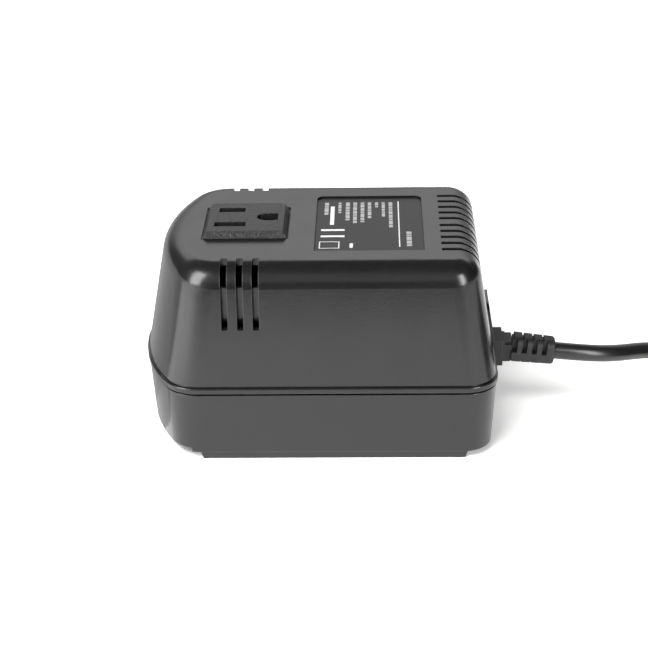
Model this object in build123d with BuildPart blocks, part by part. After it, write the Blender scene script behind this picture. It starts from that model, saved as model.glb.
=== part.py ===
"""Travel voltage converter: an autotransformer in a two-part moulded case, with a US outlet on top
and a two-core mains lead. Millimetres, +X towards the lead, +Y to the back, +Z up from the floor."""

from build123d import *
import math
import os

os.makedirs("parts", exist_ok=True)

# Case outline at the foot of the cover, and how it leans inwards up to the roof
case_length = 119.3
case_depth = 82.3
case_height = 69.5
nose_bow = 70.0
nose_lean = 8.0
end_lean = 6.5
side_lean = 2.8
nose_corner_foot = 12.5
nose_corner_top = 15.8
end_corner_foot = 10.6
end_corner_top = 9.4
crown_radius = 7.8
cover_wall = 2.5

# Seam between cover and tray: a raised lip over a shadow gap
base_height = 24.8
seam_gap = 0.8
seam_step = 0.3
lip_height = 1.9
lip_bulge = 0.7
lip_round = 0.5
crease_depth = 0.4
crease_height = 0.35
tongue_height = 2.2
tongue_wall = 1.0
seam_clearance = 0.2

# Tray
rail_height = 2.3
rail_width = 5.0
rail_nose_inset = 20.75
rail_end_inset = 10.25
rail_flare = 0.8
rail_reveal = 0.12
rail_bite = 1.2
tray_wall = 2.8
tray_floor = 2.5
tray_lean = 1.5
tray_edge = 0.5
scoop_height = 1.8
scoop_depth = 1.0
scoop_end_inset = 16.9
scoop_over = 1.5
floor_slot_width = 2.2
floor_slot_length = 24.0
floor_slot_count = 7

# Vents
slot_width = 2.1
slot_pitch = 5.15
side_slot_inset = 29.85
side_slot_count = 3
side_slot_depth = 10.95
side_slot_drop = 21.5
baffle_wall = 1.5
baffle_gap = 3.3
baffle_low_drop = 20.9
baffle_high_drop = 8.3
end_slot_inset = 18.25
end_slot_drop = 11.5
end_slot_width = 2.0
end_slot_split = 6.1
end_slot_half_count = 5

# Cord exit pad on the end wall
pad_width = 18.0
pad_rise_share = 0.33
pad_thickness = 1.0
pad_corner = 4.0

# Rating label in its recess
label_from_bezel = 9.3
label_from_vents = 5.7
label_side_room = 16.95
label_recess = 1.0
label_chamfer = 1.6
label_thickness = 0.3
label_clearance = 0.2

# Outlet insert
blade_inset = 30.15
blade_spacing = 12.7
ground_offset = 11.9
bezel_offset = 5.3
bezel_length = 28.4
bezel_depth = 27.6
bezel_rise = 2.3
bezel_slope = 32.0
bezel_chamfer = 2.2
bezel_gap = 0.35
bezel_gap_depth = 0.6
insert_length = 24.0
insert_depth = 23.6
insert_drop = 22.5
insert_clearance = 0.2
blade_slot_width = 3.8
line_slot_length = 9.0
neutral_slot_length = 10.6
ground_radius = 3.1
ground_flat = 4.1
cavity_margin = 0.7
lug_width = 5.0
lug_reach = 1.2
lug_height = 3.0
rear_plate = 2.0

# Outlet contacts
strip = 0.6
contact_width = 8.0
contact_height = 18.5
contact_gap = 2.0
contact_pinch = 0.55
tail_width = 2.5
tail_drop = 4.2
ground_clip_radius = 3.4
ground_clip_height = 15.0
ground_clip_slit = 1.4

# Case screws and their bosses
screw_nose_inset = 15.65
screw_nose_side = 15.15
screw_end_inset = 8.15
screw_end_side = 10.15
screw_radius = 1.45
screw_fit = 0.05
screw_pass_radius = 1.7
screw_bite = 10.0
screw_head_radius = 2.9
screw_head_height = 2.2
screw_head_recess = 0.9
screw_seat = 8.0
counterbore_radius = 3.3
cover_boss_radius = 3.6
tray_boss_radius = 4.7

# Transformer, on an EI lamination: five modules long and six deep, as large as the case allows
core_end_room = 13.65
core_side_room = 5.65
core_outlet_room = 3.2
core_low_room = 12.2
core_high_room = 18.5
core_bolt_radius = 1.95
core_hole_radius = 2.2
bobbin_wall = 1.0
bobbin_clearance = 0.2
coil_corner = 3.0
tape_build = 0.4
window_clearance = 1.8
common_share = 0.6
flange_margin = 0.4
bolt_head_radius = 3.6
bolt_head_height = 2.6
bolt_depth = 9.5
washer_radius = 4.6
washer_thickness = 0.8
post_radius = 4.8

# Thermal fuse and inner leads
fuse_radius = 1.75
fuse_length = 11.0
fuse_wire_radius = 0.5
fuse_wire_length = 7.0
fuse_rest = 0.1
lead_radius = 0.9
lead_bend = 2.4
lead_spacing = 3.0
lead_end_gap = 0.2
riser_room = 3.0
fuse_y = 3.0

# Cord grip, trapped in the wall on the seam
grip_z = 22.0
grip_flange_clearance = 0.1
grip_flange_depth = 10.7
grip_flange_height = 9.8
grip_flange_thickness = 3.3
grip_neck_depth = 7.0
grip_neck_height = 8.4
grip_neck_length = 3.2
neck_recess_length = 2.2
neck_recess_height = 2.0
neck_recess_depth = 1.0
grip_inner_inset = 7.65
grip_collar_inset = 5.45
grip_collar_thickness = 2.2
grip_clearance = 0.2
grip_droop = 6.4
rib_count = 4
rib_pitch = 3.5
rib_gap = 0.6
rib_depth_first = 9.0
rib_height_first = 9.6
rib_depth_last = 8.6
rib_height_last = 9.0
rib_corner = 3.0
rib_window = 1.7
rib_window_low = -0.3
rib_window_high = 4.4
rib_spine = 4.6
rib_end_length = 1.2
rib_end_round = 1.1
rib_notch = 1.1

# Mains lead: its route lies free, then it is wound up beside the case
cord_radius = 3.0
cord_run_share = 0.45
cord_first_run = 12.0
cord_route = [
    (104.5, 4.5, 16.6),
    (116.0, 14.0, 13.2),
    (130.5, 22.0, 8.8),
    (144.0, 26.5, 5.5),
    (157.0, 28.0, 3.5),
    (166.0, 28.0, 3.5),
]
coil_x = 172.0
coil_radius = 36.0
coil_pitch = 6.5
coil_rise = 6.45
coil_half_turns = 4
plug_loop_radius = 24.0
plug_loop_lead = 12.0
cord_straight = 6.0
tie_thickness = 0.45
tie_width = 5.0
tie_clearance = 0.05
tie_slack = 0.7

# Plug
plug_length = 36.0
plug_width = 35.0
plug_waist = 16.0
plug_thickness = 13.7
plug_nose_length = 9.0
plug_edge = 2.4
plug_corner = 3.0
plug_boot_length = 14.0
plug_boot_radius = 5.2
plug_boot_end_radius = 3.9
plug_boot_groove = 0.8
plug_boot_rings = 3
plug_rest = 0.6
pin_spacing = 18.6
pin_radius = 2.0
pin_length = 19.0
pin_root = 4.0
pin_core_radius = 1.5
pin_tip_round = 1.2
sleeve_length = 10.0

overrun = 1.0

# Places that follow from the above: along the case, across it, and in height
nose_x = -case_length / 2
end_x = case_length / 2
blade_x = nose_x + blade_inset
bezel_x = blade_x + bezel_offset
side_slot_x = nose_x + side_slot_inset
end_slot_x = end_x - end_slot_inset
rail_nose_x = nose_x + rail_nose_inset
rail_end_x = end_x - rail_end_inset
label_low_x = bezel_x + bezel_length / 2 + label_from_bezel
label_high_x = end_slot_x - label_from_vents
label_x = (label_low_x + label_high_x) / 2
label_length = label_high_x - label_low_x
core_end = end_x - core_end_room
core_start = bezel_x + insert_length / 2 + core_outlet_room
riser_x = core_end + riser_room
drop_x = core_start - core_outlet_room / 2
grip_flange_x = end_x + lip_bulge + grip_flange_clearance
grip_inner_x = end_x - grip_inner_inset
grip_collar_x = end_x - grip_collar_inset
label_depth = case_depth - 2 * label_side_room
side_slot_reach = case_depth / 2 - side_slot_depth
side_slot_sill = case_height - side_slot_drop
baffle_low = case_height - baffle_low_drop
baffle_high = case_height - baffle_high_drop
end_slot_sill = case_height - end_slot_drop
insert_bottom = case_height - insert_drop
rim_level = base_height + seam_gap
cover_foot = rim_level + lip_height
roof_level = case_height - cover_wall
floor_level = rail_height + tray_floor
tongue_inset = cover_wall - tongue_wall
rebate_inset = tongue_inset - seam_clearance
rebate_top = rim_level + tongue_height + seam_clearance
pad_top = cover_foot + (case_height - cover_foot) * pad_rise_share
slot_middle_x = side_slot_x + slot_pitch * (side_slot_count - 1) / 2
lam_module = min((core_end - core_start) / 5, (case_depth / 2 - cover_wall - core_side_room) / 3)
core_x = core_end - 2.5 * lam_module
core_bottom = floor_level + core_low_room
core_top = case_height - core_high_room
stack_height = core_top - core_bottom


def plan_at(level, nose_x, end_x, half_depth, nose_corner, end_corner, inset):
    """A closed plan at one height: a bowed nose towards -X, straight sides and a straight end."""
    bow = nose_bow - inset
    half = half_depth - inset
    shoulder = nose_x + inset + bow - math.sqrt(bow**2 - half**2)
    with BuildSketch(Plane.XY.offset(level)) as plan:
        with BuildLine():
            Polyline(
                (shoulder, -half), (end_x - inset, -half), (end_x - inset, half), (shoulder, half)
            )
            ThreePointArc((shoulder, half), (nose_x + inset, 0), (shoulder, -half))
        make_face()
        fillet(plan.vertices().sort_by(Axis.X)[:2], nose_corner - inset)
        fillet(plan.vertices().sort_by(Axis.X)[-2:], end_corner - inset)
    return plan.sketch


def cover_plan(level, inset=0):
    """The cover's plan, which leans in from its foot to the roof."""
    rise = (level - cover_foot) / (case_height - cover_foot)
    return plan_at(
        level,
        -case_length / 2 + nose_lean * rise,
        case_length / 2 - end_lean * rise,
        case_depth / 2 - side_lean * rise,
        nose_corner_foot + (nose_corner_top - nose_corner_foot) * rise,
        end_corner_foot + (end_corner_top - end_corner_foot) * rise,
        inset,
    )


def tray_half_depth(level):
    """Half the tray's depth, which leans in from the seam to the rails."""
    return case_depth / 2 + seam_step - tray_lean * (base_height - level) / (base_height - rail_height)


def tray_plan(level, inset=0):
    """The tray's plan at one height."""
    step = tray_half_depth(level) - case_depth / 2
    return plan_at(
        level,
        -case_length / 2 - step,
        case_length / 2 + step,
        case_depth / 2 + step,
        nose_corner_foot + step,
        end_corner_foot + step,
        inset,
    )


def drafted(plan, low, high, inset=0):
    """The solid between two heights of a leaning plan."""
    with BuildPart() as block:
        loft(sections=[plan(low, inset), plan(high, inset)], ruled=True)
    return block.part


def upright(radius, low, high):
    """A vertical cylinder from one height to another, added where Locations say."""
    return Cylinder(radius, high - low, align=(Align.CENTER, Align.CENTER, Align.MIN))


def at_level(places, level):
    """Plan places lifted to one height."""
    return [(x, y, level) for x, y in places]


screw_places = [
    (x, side * (case_depth / 2 - inset))
    for x, inset in (
        (nose_x + screw_nose_inset, screw_nose_side),
        (end_x - screw_end_inset, screw_end_side),
    )
    for side in (-1, 1)
]
side_slot_xs = [side_slot_x + slot_pitch * i for i in range(side_slot_count)]
end_slot_ys = [
    side * (end_slot_split / 2 + slot_pitch * i) for side in (-1, 1) for i in range(end_slot_half_count)
]

# The open space inside the cover, with the bosses left standing in it
with BuildPart() as cover_space:
    add(drafted(cover_plan, rim_level - overrun, roof_level, cover_wall))
    fillet(cover_space.faces().sort_by(Axis.Z)[-1].edges(), crown_radius - cover_wall)
    add(drafted(cover_plan, rim_level - overrun, rebate_top, rebate_inset))
    with Locations(*at_level(screw_places, rim_level)):
        Cylinder(
            cover_boss_radius,
            case_height,
            align=(Align.CENTER, Align.CENTER, Align.MIN),
            mode=Mode.SUBTRACT,
        )

# The lip round the cover's foot
with BuildPart() as lip_band:
    add(
        plan_at(
            rim_level,
            -case_length / 2,
            case_length / 2,
            case_depth / 2,
            nose_corner_foot,
            end_corner_foot,
            -lip_bulge,
        )
    )
    extrude(amount=lip_height)
    fillet(lip_band.faces().sort_by(Axis.Z)[-1].edges(), lip_round)

# The raised pad above the cord exit: the end wall again, one pad thickness further out
with BuildPart() as end_pad:
    add(drafted(cover_plan, rim_level, case_height).moved(Location((pad_thickness, 0, 0))))
    with BuildSketch(Plane.YZ) as pad_face:
        with Locations((0, (pad_top + cover_foot) / 2)):
            Rectangle(pad_width, pad_top - cover_foot)
        fillet(pad_face.vertices().sort_by(Axis.Y)[-2:], pad_corner)
    extrude(amount=case_length, mode=Mode.INTERSECT)

# Cover: leaning shell with a rolled crown
with BuildPart() as top_cover:
    add(drafted(cover_plan, rim_level, case_height))
    fillet(top_cover.faces().sort_by(Axis.Z)[-1].edges(), crown_radius)
    add(end_pad.part)
    add(lip_band.part)
    add(cover_space.part, mode=Mode.SUBTRACT)
    # Side vents, cut down through the crown into both long walls
    slot_height = case_height - side_slot_sill + overrun
    slot_depth = case_depth / 2 - side_slot_reach + overrun
    for side in (-1, 1):
        with Locations(*[(x, side * (side_slot_reach + slot_depth / 2), side_slot_sill) for x in side_slot_xs]):
            Box(
                slot_width,
                slot_depth,
                slot_height,
                align=(Align.CENTER, Align.CENTER, Align.MIN),
                mode=Mode.SUBTRACT,
            )
    # End vents, cut through the roof and round the crown into the end wall
    with Locations(*[(end_slot_x, y, end_slot_sill) for y in end_slot_ys]):
        Box(
            case_length / 2 - end_slot_x + overrun,
            end_slot_width,
            case_height - end_slot_sill + overrun,
            align=(Align.MIN, Align.CENTER, Align.MIN),
            mode=Mode.SUBTRACT,
        )
    # Baffle behind each set of side vents, on a web behind each pillar
    for side in (-1, 1):
        baffle_y = side * (case_depth / 2 - side_lean - baffle_gap + baffle_wall / 2)
        with Locations((slot_middle_x, baffle_y - side * baffle_wall, baffle_low)):
            Box(
                slot_pitch * side_slot_count,
                baffle_wall,
                baffle_high - baffle_low,
                align=(Align.CENTER, Align.CENTER, Align.MIN),
            )
        web_xs = [side_slot_x + slot_pitch * (i - 1 / 2) for i in range(side_slot_count + 1)]
        with Locations(*[(x, baffle_y, baffle_low) for x in web_xs]):
            Box(
                baffle_wall,
                2 * baffle_wall,
                baffle_high - baffle_low,
                align=(Align.CENTER, Align.CENTER, Align.MIN),
            )
    # Recess for the rating label
    with BuildSketch(Plane.XY.offset(case_height)) as recess:
        with Locations((label_x, 0)):
            Rectangle(label_length, label_depth)
        chamfer(recess.vertices().sort_by(Axis.Y)[-2:], label_chamfer)
    extrude(amount=-label_recess, mode=Mode.SUBTRACT)
    # Crease above the lip
    with BuildSketch(Plane.XY.offset(cover_foot)):
        add(cover_plan(cover_foot, -overrun).moved(Location((0, 0, -cover_foot))))
        add(
            cover_plan(cover_foot, crease_depth).moved(Location((0, 0, -cover_foot))),
            mode=Mode.SUBTRACT,
        )
    extrude(amount=crease_height, mode=Mode.SUBTRACT)
    # Shadow gap round the outlet insert's face
    with Locations((bezel_x, 0, case_height)):
        Box(
            bezel_length + 2 * bezel_gap,
            bezel_depth + 2 * bezel_gap,
            2 * bezel_gap_depth,
            mode=Mode.SUBTRACT,
        )
    # Opening for the outlet insert
    with Locations((bezel_x, 0, case_height)):
        Box(
            insert_length + 2 * insert_clearance,
            insert_depth + 2 * insert_clearance,
            2 * (cover_wall + overrun),
            mode=Mode.SUBTRACT,
        )
    # Pilot holes for the case screws
    with Locations(*at_level(screw_places, rim_level)):
        Cylinder(
            screw_radius + screw_fit,
            screw_bite + overrun,
            align=(Align.CENTER, Align.CENTER, Align.MIN),
            mode=Mode.SUBTRACT,
        )
    # Half of the cord exit
    with Locations((case_length / 2, 0, grip_z)):
        Box(
            2 * (case_length / 2 - grip_inner_x),
            grip_neck_depth + 2 * grip_clearance,
            grip_neck_height + 2 * grip_clearance,
            mode=Mode.SUBTRACT,
        )
top_cover.part.label = "top_cover"
export_step(top_cover.part, "parts/top_cover.step")

# Tongue of the tray, which stands inside the cover's rebate
with BuildPart() as tongue:
    add(drafted(cover_plan, base_height, rim_level + tongue_height, tongue_inset))
    add(
        drafted(cover_plan, base_height - overrun, rim_level + tongue_height + overrun, cover_wall),
        mode=Mode.SUBTRACT,
    )

# The lamination's corner holes, which the tray's posts line up with
yoke_x = core_x - 2.5 * lam_module + lam_module / 2
back_x = core_x + 2.5 * lam_module - lam_module / 2
bolt_y = 2.5 * lam_module
bolt_places = [(x, y) for x in (yoke_x, back_x) for y in (-bolt_y, bolt_y)]


def rail_section(level, side):
    """One rail's plan at one height, set in a little from the tray's leaning wall."""
    outer = tray_half_depth(level) - rail_reveal
    inner = tray_half_depth(0) - rail_width
    reach = rail_flare * level / rail_height
    with BuildSketch(Plane.XY.offset(level)) as section:
        with Locations(((rail_nose_x + rail_end_x) / 2, side * (outer + inner) / 2)):
            Rectangle(rail_end_x - rail_nose_x + 2 * reach, outer - inner)
    return section.sketch


# What the nose scoop leaves: the tray's plan, drawn in at the bottom and out above the scoop
scoop_lean = scoop_depth / scoop_height
with BuildPart() as scoop_core:
    loft(
        sections=[
            tray_plan(rail_height - overrun, scoop_depth + overrun * scoop_lean),
            tray_plan(rail_height + scoop_height + scoop_over, -scoop_over * scoop_lean),
        ],
        ruled=True,
    )

# Scoop under the nose, which cuts the bottom edge away between the rails' ends and the bow
with BuildPart() as nose_scoop:
    add(
        drafted(
            tray_plan,
            rail_height - overrun,
            rail_height + scoop_height + scoop_over,
            -2 * scoop_over,
        )
    )
    add(scoop_core.part, mode=Mode.SUBTRACT)
    with Locations((nose_x + scoop_end_inset, 0, rail_height)):
        Box(
            case_length,
            2 * case_depth,
            case_height,
            align=(Align.MAX, Align.CENTER, Align.CENTER),
            mode=Mode.INTERSECT,
        )

# Tray: shallow leaning box on two rails
with BuildPart() as base_tray:
    add(drafted(tray_plan, rail_height, base_height))
    fillet(base_tray.faces().sort_by(Axis.Z)[0].edges(), tray_edge)
    for side in (-1, 1):
        loft(
            sections=[rail_section(0, side), rail_section(rail_height + rail_bite, side)],
            ruled=True,
        )
    add(nose_scoop.part, mode=Mode.SUBTRACT)
    add(drafted(tray_plan, floor_level, base_height + overrun, tray_wall), mode=Mode.SUBTRACT)
    add(tongue.part)
    with Locations(*at_level(screw_places, floor_level)):
        upright(tray_boss_radius, floor_level, rim_level)
    with Locations(*at_level(bolt_places, floor_level)):
        upright(post_radius, floor_level, core_bottom)
    # Screw passages, with the heads sunk from below
    with Locations(*at_level(screw_places, 0)):
        Cylinder(
            screw_pass_radius,
            case_height,
            align=(Align.CENTER, Align.CENTER, Align.MIN),
            mode=Mode.SUBTRACT,
        )
        Cylinder(
            counterbore_radius,
            screw_seat,
            align=(Align.CENTER, Align.CENTER, Align.MIN),
            mode=Mode.SUBTRACT,
        )
    with Locations(*at_level(bolt_places, core_bottom)):
        Cylinder(
            core_bolt_radius + screw_fit,
            bolt_depth + screw_fit,
            align=(Align.CENTER, Align.CENTER, Align.MAX),
            mode=Mode.SUBTRACT,
        )
    # Air slots in the floor
    with BuildSketch(Plane.XY.offset(rail_height - overrun)):
        for middle in (bezel_x, core_x):
            with Locations((middle, 0)):
                with GridLocations(slot_pitch, slot_pitch, 1, floor_slot_count):
                    SlotOverall(floor_slot_length, floor_slot_width)
    extrude(amount=tray_floor + 2 * overrun, mode=Mode.SUBTRACT)
    # The other half of the cord exit
    with Locations((case_length / 2, 0, grip_z - grip_neck_height / 2 - grip_clearance)):
        Box(
            2 * (case_length / 2 - grip_inner_x),
            grip_neck_depth + 2 * grip_clearance,
            grip_neck_height + tongue_height,
            align=(Align.CENTER, Align.CENTER, Align.MIN),
            mode=Mode.SUBTRACT,
        )
base_tray.part.label = "base_tray"
export_step(base_tray.part, "parts/base_tray.step")

# Case screws, up through the tray into the cover's bosses
with BuildPart() as case_screws:
    with Locations(*at_level(screw_places, screw_seat)):
        upright(screw_radius, screw_seat, rim_level + screw_bite)
        Cylinder(
            screw_head_radius, screw_head_height, align=(Align.CENTER, Align.CENTER, Align.MAX)
        )
    head_face = screw_seat - screw_head_height
    with BuildSketch(Plane.XY.offset(head_face)):
        with Locations(*screw_places):
            Rectangle(2 * screw_radius, screw_head_recess)
            Rectangle(screw_head_recess, 2 * screw_radius)
    extrude(amount=screw_head_height / 2, mode=Mode.SUBTRACT)
case_screws.part.label = "case_screws"
export_step(case_screws.part, "parts/case_screws.step")

# Rating label, stuck down in its recess
with BuildPart() as rating_label:
    with BuildSketch(Plane.XY.offset(case_height - label_recess)) as sticker:
        with Locations((label_x, 0)):
            Rectangle(label_length - 2 * label_clearance, label_depth - 2 * label_clearance)
        chamfer(sticker.vertices().sort_by(Axis.Y)[-2:], label_chamfer)
    extrude(amount=label_thickness)
rating_label.part.label = "rating_label"
export_step(rating_label.part, "parts/rating_label.step")

# Outlet: bevelled face with the blade slots and the ground hole, round towards the blades
line_y = blade_spacing / 2
neutral_y = -blade_spacing / 2
ground_x = blade_x + ground_offset
with BuildPart() as socket_face:
    with BuildSketch(Plane.XY.offset(case_height)) as bezel:
        with Locations((bezel_x, 0)):
            Rectangle(bezel_length, bezel_depth)
        chamfer(bezel.vertices().sort_by(Axis.Y)[-2:], bezel_chamfer)
    extrude(amount=bezel_rise, taper=bezel_slope)
    with BuildSketch(Plane.XY.offset(case_height - overrun)):
        with Locations((blade_x, line_y)):
            Rectangle(line_slot_length, blade_slot_width)
        with Locations((blade_x, neutral_y)):
            Rectangle(neutral_slot_length, blade_slot_width)
        with Locations((ground_x, 0)):
            Circle(ground_radius)
            Rectangle(ground_flat, 2 * ground_radius, align=(Align.MIN, Align.CENTER))
    extrude(amount=bezel_rise + 2 * overrun, mode=Mode.SUBTRACT)
socket_face.part.label = "socket_face"
export_step(socket_face.part, "parts/socket_face.step")

# Outlet body, which drops through the roof under the face and holds the contacts
with BuildPart() as socket_body:
    with Locations((bezel_x, 0, insert_bottom)):
        Box(
            insert_length,
            insert_depth,
            case_height - insert_bottom,
            align=(Align.CENTER, Align.CENTER, Align.MIN),
        )
    # Snap lugs under the roof
    with BuildSketch(Plane.XZ.offset(-lug_width / 2)):
        for side in (-1, 1):
            wall_x = bezel_x + side * insert_length / 2
            lug_top = roof_level - insert_clearance
            with BuildLine():
                Polyline(
                    (wall_x, lug_top),
                    (wall_x + side * lug_reach, lug_top),
                    (wall_x, lug_top - lug_height),
                    close=True,
                )
            make_face()
    extrude(amount=lug_width)
    # Contact cavities, open at both ends
    cavities = [(blade_x, line_y, line_slot_length), (blade_x, neutral_y, neutral_slot_length)]
    for x, y, length in cavities:
        with Locations((x, y, insert_bottom)):
            Box(
                length + cavity_margin,
                blade_slot_width + 2 * cavity_margin,
                case_height,
                align=(Align.CENTER, Align.CENTER, Align.MIN),
                mode=Mode.SUBTRACT,
            )
    with Locations((ground_x, 0, insert_bottom)):
        Cylinder(
            ground_flat,
            case_height,
            align=(Align.CENTER, Align.CENTER, Align.MIN),
            mode=Mode.SUBTRACT,
        )
socket_body.part.label = "socket_body"
export_step(socket_body.part, "parts/socket_body.step")

# Rear plate that holds the contacts in the insert
with BuildPart() as socket_rear_plate:
    with Locations((bezel_x, 0, insert_bottom)):
        Box(
            insert_length,
            insert_depth,
            rear_plate,
            align=(Align.CENTER, Align.CENTER, Align.MAX),
        )
    with Locations(*at_level([(blade_x, line_y), (blade_x, neutral_y), (ground_x, 0)], insert_bottom)):
        Box(
            tail_width + 2 * insert_clearance,
            strip + 2 * insert_clearance,
            3 * rear_plate,
            mode=Mode.SUBTRACT,
        )
socket_rear_plate.part.label = "socket_rear_plate"
export_step(socket_rear_plate.part, "parts/socket_rear_plate.step")


def blade_contact(name, middle_y):
    """A sprung clip of two leaves that pinch in near the top, on a base strip with a solder tail."""
    half_gap = contact_gap / 2 + strip
    top = insert_bottom + contact_height
    pinch_level = top - contact_height / 4
    with BuildPart() as contact:
        with BuildSketch(Plane.YZ.offset(blade_x - contact_width / 2)):
            for side in (-1, 1):
                with BuildLine():
                    outer = middle_y + side * half_gap
                    pinch = middle_y + side * (half_gap - contact_pinch)
                    Polyline(
                        (middle_y, insert_bottom),
                        (outer, insert_bottom),
                        (pinch, pinch_level),
                        (outer, top),
                        (outer - side * strip, top),
                        (pinch - side * strip, pinch_level),
                        (outer - side * strip, insert_bottom + strip),
                        (middle_y, insert_bottom + strip),
                        close=True,
                    )
                make_face()
        extrude(amount=contact_width)
        with Locations((blade_x, middle_y, insert_bottom)):
            Box(tail_width, strip, tail_drop, align=(Align.CENTER, Align.CENTER, Align.MAX))
    contact.part.label = name
    export_step(contact.part, f"parts/{name}.step")
    return contact.part


contact_line = blade_contact("socket_contact_line", line_y)
contact_neutral = blade_contact("socket_contact_neutral", neutral_y)

# Ground contact: a slit sleeve on a base disc
with BuildPart() as socket_contact_ground:
    with Locations((ground_x, 0, insert_bottom)):
        Cylinder(
            ground_clip_radius, ground_clip_height, align=(Align.CENTER, Align.CENTER, Align.MIN)
        )
        Box(tail_width, strip, tail_drop, align=(Align.CENTER, Align.CENTER, Align.MAX))
    with Locations((ground_x, 0, insert_bottom + strip)):
        Cylinder(
            ground_clip_radius - strip,
            ground_clip_height,
            align=(Align.CENTER, Align.CENTER, Align.MIN),
            mode=Mode.SUBTRACT,
        )
        Box(
            2 * ground_clip_radius,
            ground_clip_slit,
            ground_clip_height,
            align=(Align.MIN, Align.CENTER, Align.MIN),
            mode=Mode.SUBTRACT,
        )
socket_contact_ground.part.label = "socket_contact_ground"
export_step(socket_contact_ground.part, "parts/socket_contact_ground.step")

# Core: E laminations with their back towards the lead, and the I yoke across their legs
leg_tip = core_end - 4 * lam_module
core_middle = core_bottom + stack_height / 2
with BuildPart() as core_e_stack:
    with BuildSketch(Plane.XY.offset(core_bottom)):
        with Locations((core_end, 0)):
            Rectangle(4 * lam_module, 6 * lam_module, align=(Align.MAX, Align.CENTER))
        with Locations((leg_tip, -1.5 * lam_module), (leg_tip, 1.5 * lam_module)):
            Rectangle(3 * lam_module, lam_module, align=(Align.MIN, Align.CENTER), mode=Mode.SUBTRACT)
        with Locations((back_x, -bolt_y), (back_x, bolt_y)):
            Circle(core_hole_radius, mode=Mode.SUBTRACT)
    extrude(amount=stack_height)
core_e_stack.part.label = "core_e_stack"
export_step(core_e_stack.part, "parts/core_e_stack.step")

with BuildPart() as core_i_stack:
    with BuildSketch(Plane.XY.offset(core_bottom)):
        with Locations((leg_tip, 0)):
            Rectangle(lam_module, 6 * lam_module, align=(Align.MAX, Align.CENTER))
        with Locations((yoke_x, -bolt_y), (yoke_x, bolt_y)):
            Circle(core_hole_radius, mode=Mode.SUBTRACT)
    extrude(amount=stack_height)
core_i_stack.part.label = "core_i_stack"
export_step(core_i_stack.part, "parts/core_i_stack.step")

# Bobbin, winding and tape round the middle leg, each a ring on the one below
leg_half_y = lam_module + bobbin_clearance
leg_half_z = stack_height / 2 + bobbin_clearance
bobbin_low_x = leg_tip + bobbin_clearance
bobbin_length = 3 * lam_module - 2 * bobbin_clearance
winding_low_x = bobbin_low_x + bobbin_wall
winding_length = bobbin_length - 2 * bobbin_wall
winding_room = lam_module - bobbin_clearance - bobbin_wall - tape_build - window_clearance
common_build = winding_room * common_share
build_up = bobbin_wall + winding_room + tape_build


def wound_ring(name, low_x, length, inner, outer):
    """A ring round the middle leg between two thicknesses of build-up, with rounded corners."""
    with BuildPart() as ring:
        with BuildSketch(Plane.YZ.offset(low_x)):
            with Locations((0, core_middle)):
                RectangleRounded(
                    2 * (leg_half_y + outer), 2 * (leg_half_z + outer), coil_corner * outer / build_up
                )
                if inner > 0:
                    RectangleRounded(
                        2 * (leg_half_y + inner),
                        2 * (leg_half_z + inner),
                        coil_corner * inner / build_up,
                        mode=Mode.SUBTRACT,
                    )
                else:
                    Rectangle(2 * leg_half_y, 2 * leg_half_z, mode=Mode.SUBTRACT)
        extrude(amount=length)
    if name:
        ring.part.label = name
        export_step(ring.part, f"parts/{name}.step")
    return ring.part


with BuildPart() as bobbin:
    add(wound_ring("", bobbin_low_x, bobbin_length, 0, bobbin_wall))
    with BuildSketch(Plane.YZ.offset(bobbin_low_x)):
        with Locations((0, core_middle)):
            Rectangle(
                2 * (2 * lam_module - bobbin_clearance), 2 * (leg_half_z + build_up + flange_margin)
            )
            Rectangle(2 * leg_half_y, 2 * leg_half_z, mode=Mode.SUBTRACT)
    extrude(amount=bobbin_wall)
    with BuildSketch(Plane.YZ.offset(bobbin_low_x + bobbin_length)):
        with Locations((0, core_middle)):
            Rectangle(
                2 * (2 * lam_module - bobbin_clearance), 2 * (leg_half_z + build_up + flange_margin)
            )
            Rectangle(2 * leg_half_y, 2 * leg_half_z, mode=Mode.SUBTRACT)
    extrude(amount=-bobbin_wall)
bobbin.part.label = "bobbin"
export_step(bobbin.part, "parts/bobbin.step")

common_top = bobbin_wall + common_build
series_top = bobbin_wall + winding_room
common_winding = wound_ring("common_winding", winding_low_x, winding_length, bobbin_wall, common_top)
series_winding = wound_ring("series_winding", winding_low_x, winding_length, common_top, series_top)
winding_tape = wound_ring("winding_tape", winding_low_x, winding_length, series_top, build_up)

# Core bolts and washers, down through the laminations into the tray's posts
with BuildPart() as core_washers:
    with Locations(*at_level(bolt_places, core_top)):
        upright(washer_radius, core_top, core_top + washer_thickness)
        Cylinder(core_hole_radius, 3 * washer_thickness, mode=Mode.SUBTRACT)
core_washers.part.label = "core_washers"
export_step(core_washers.part, "parts/core_washers.step")

head_level = core_top + washer_thickness
with BuildPart() as core_bolts:
    with Locations(*at_level(bolt_places, core_bottom - bolt_depth)):
        upright(core_bolt_radius, core_bottom - bolt_depth, head_level)
    with Locations(*at_level(bolt_places, head_level)):
        upright(bolt_head_radius, head_level, head_level + bolt_head_height)
    with BuildSketch(Plane.XY.offset(head_level + bolt_head_height)):
        with Locations(*bolt_places):
            Rectangle(2 * core_bolt_radius, screw_head_recess)
            Rectangle(screw_head_recess, 2 * core_bolt_radius)
    extrude(amount=-bolt_head_height / 2, mode=Mode.SUBTRACT)
core_bolts.part.label = "core_bolts"
export_step(core_bolts.part, "parts/core_bolts.step")

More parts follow.
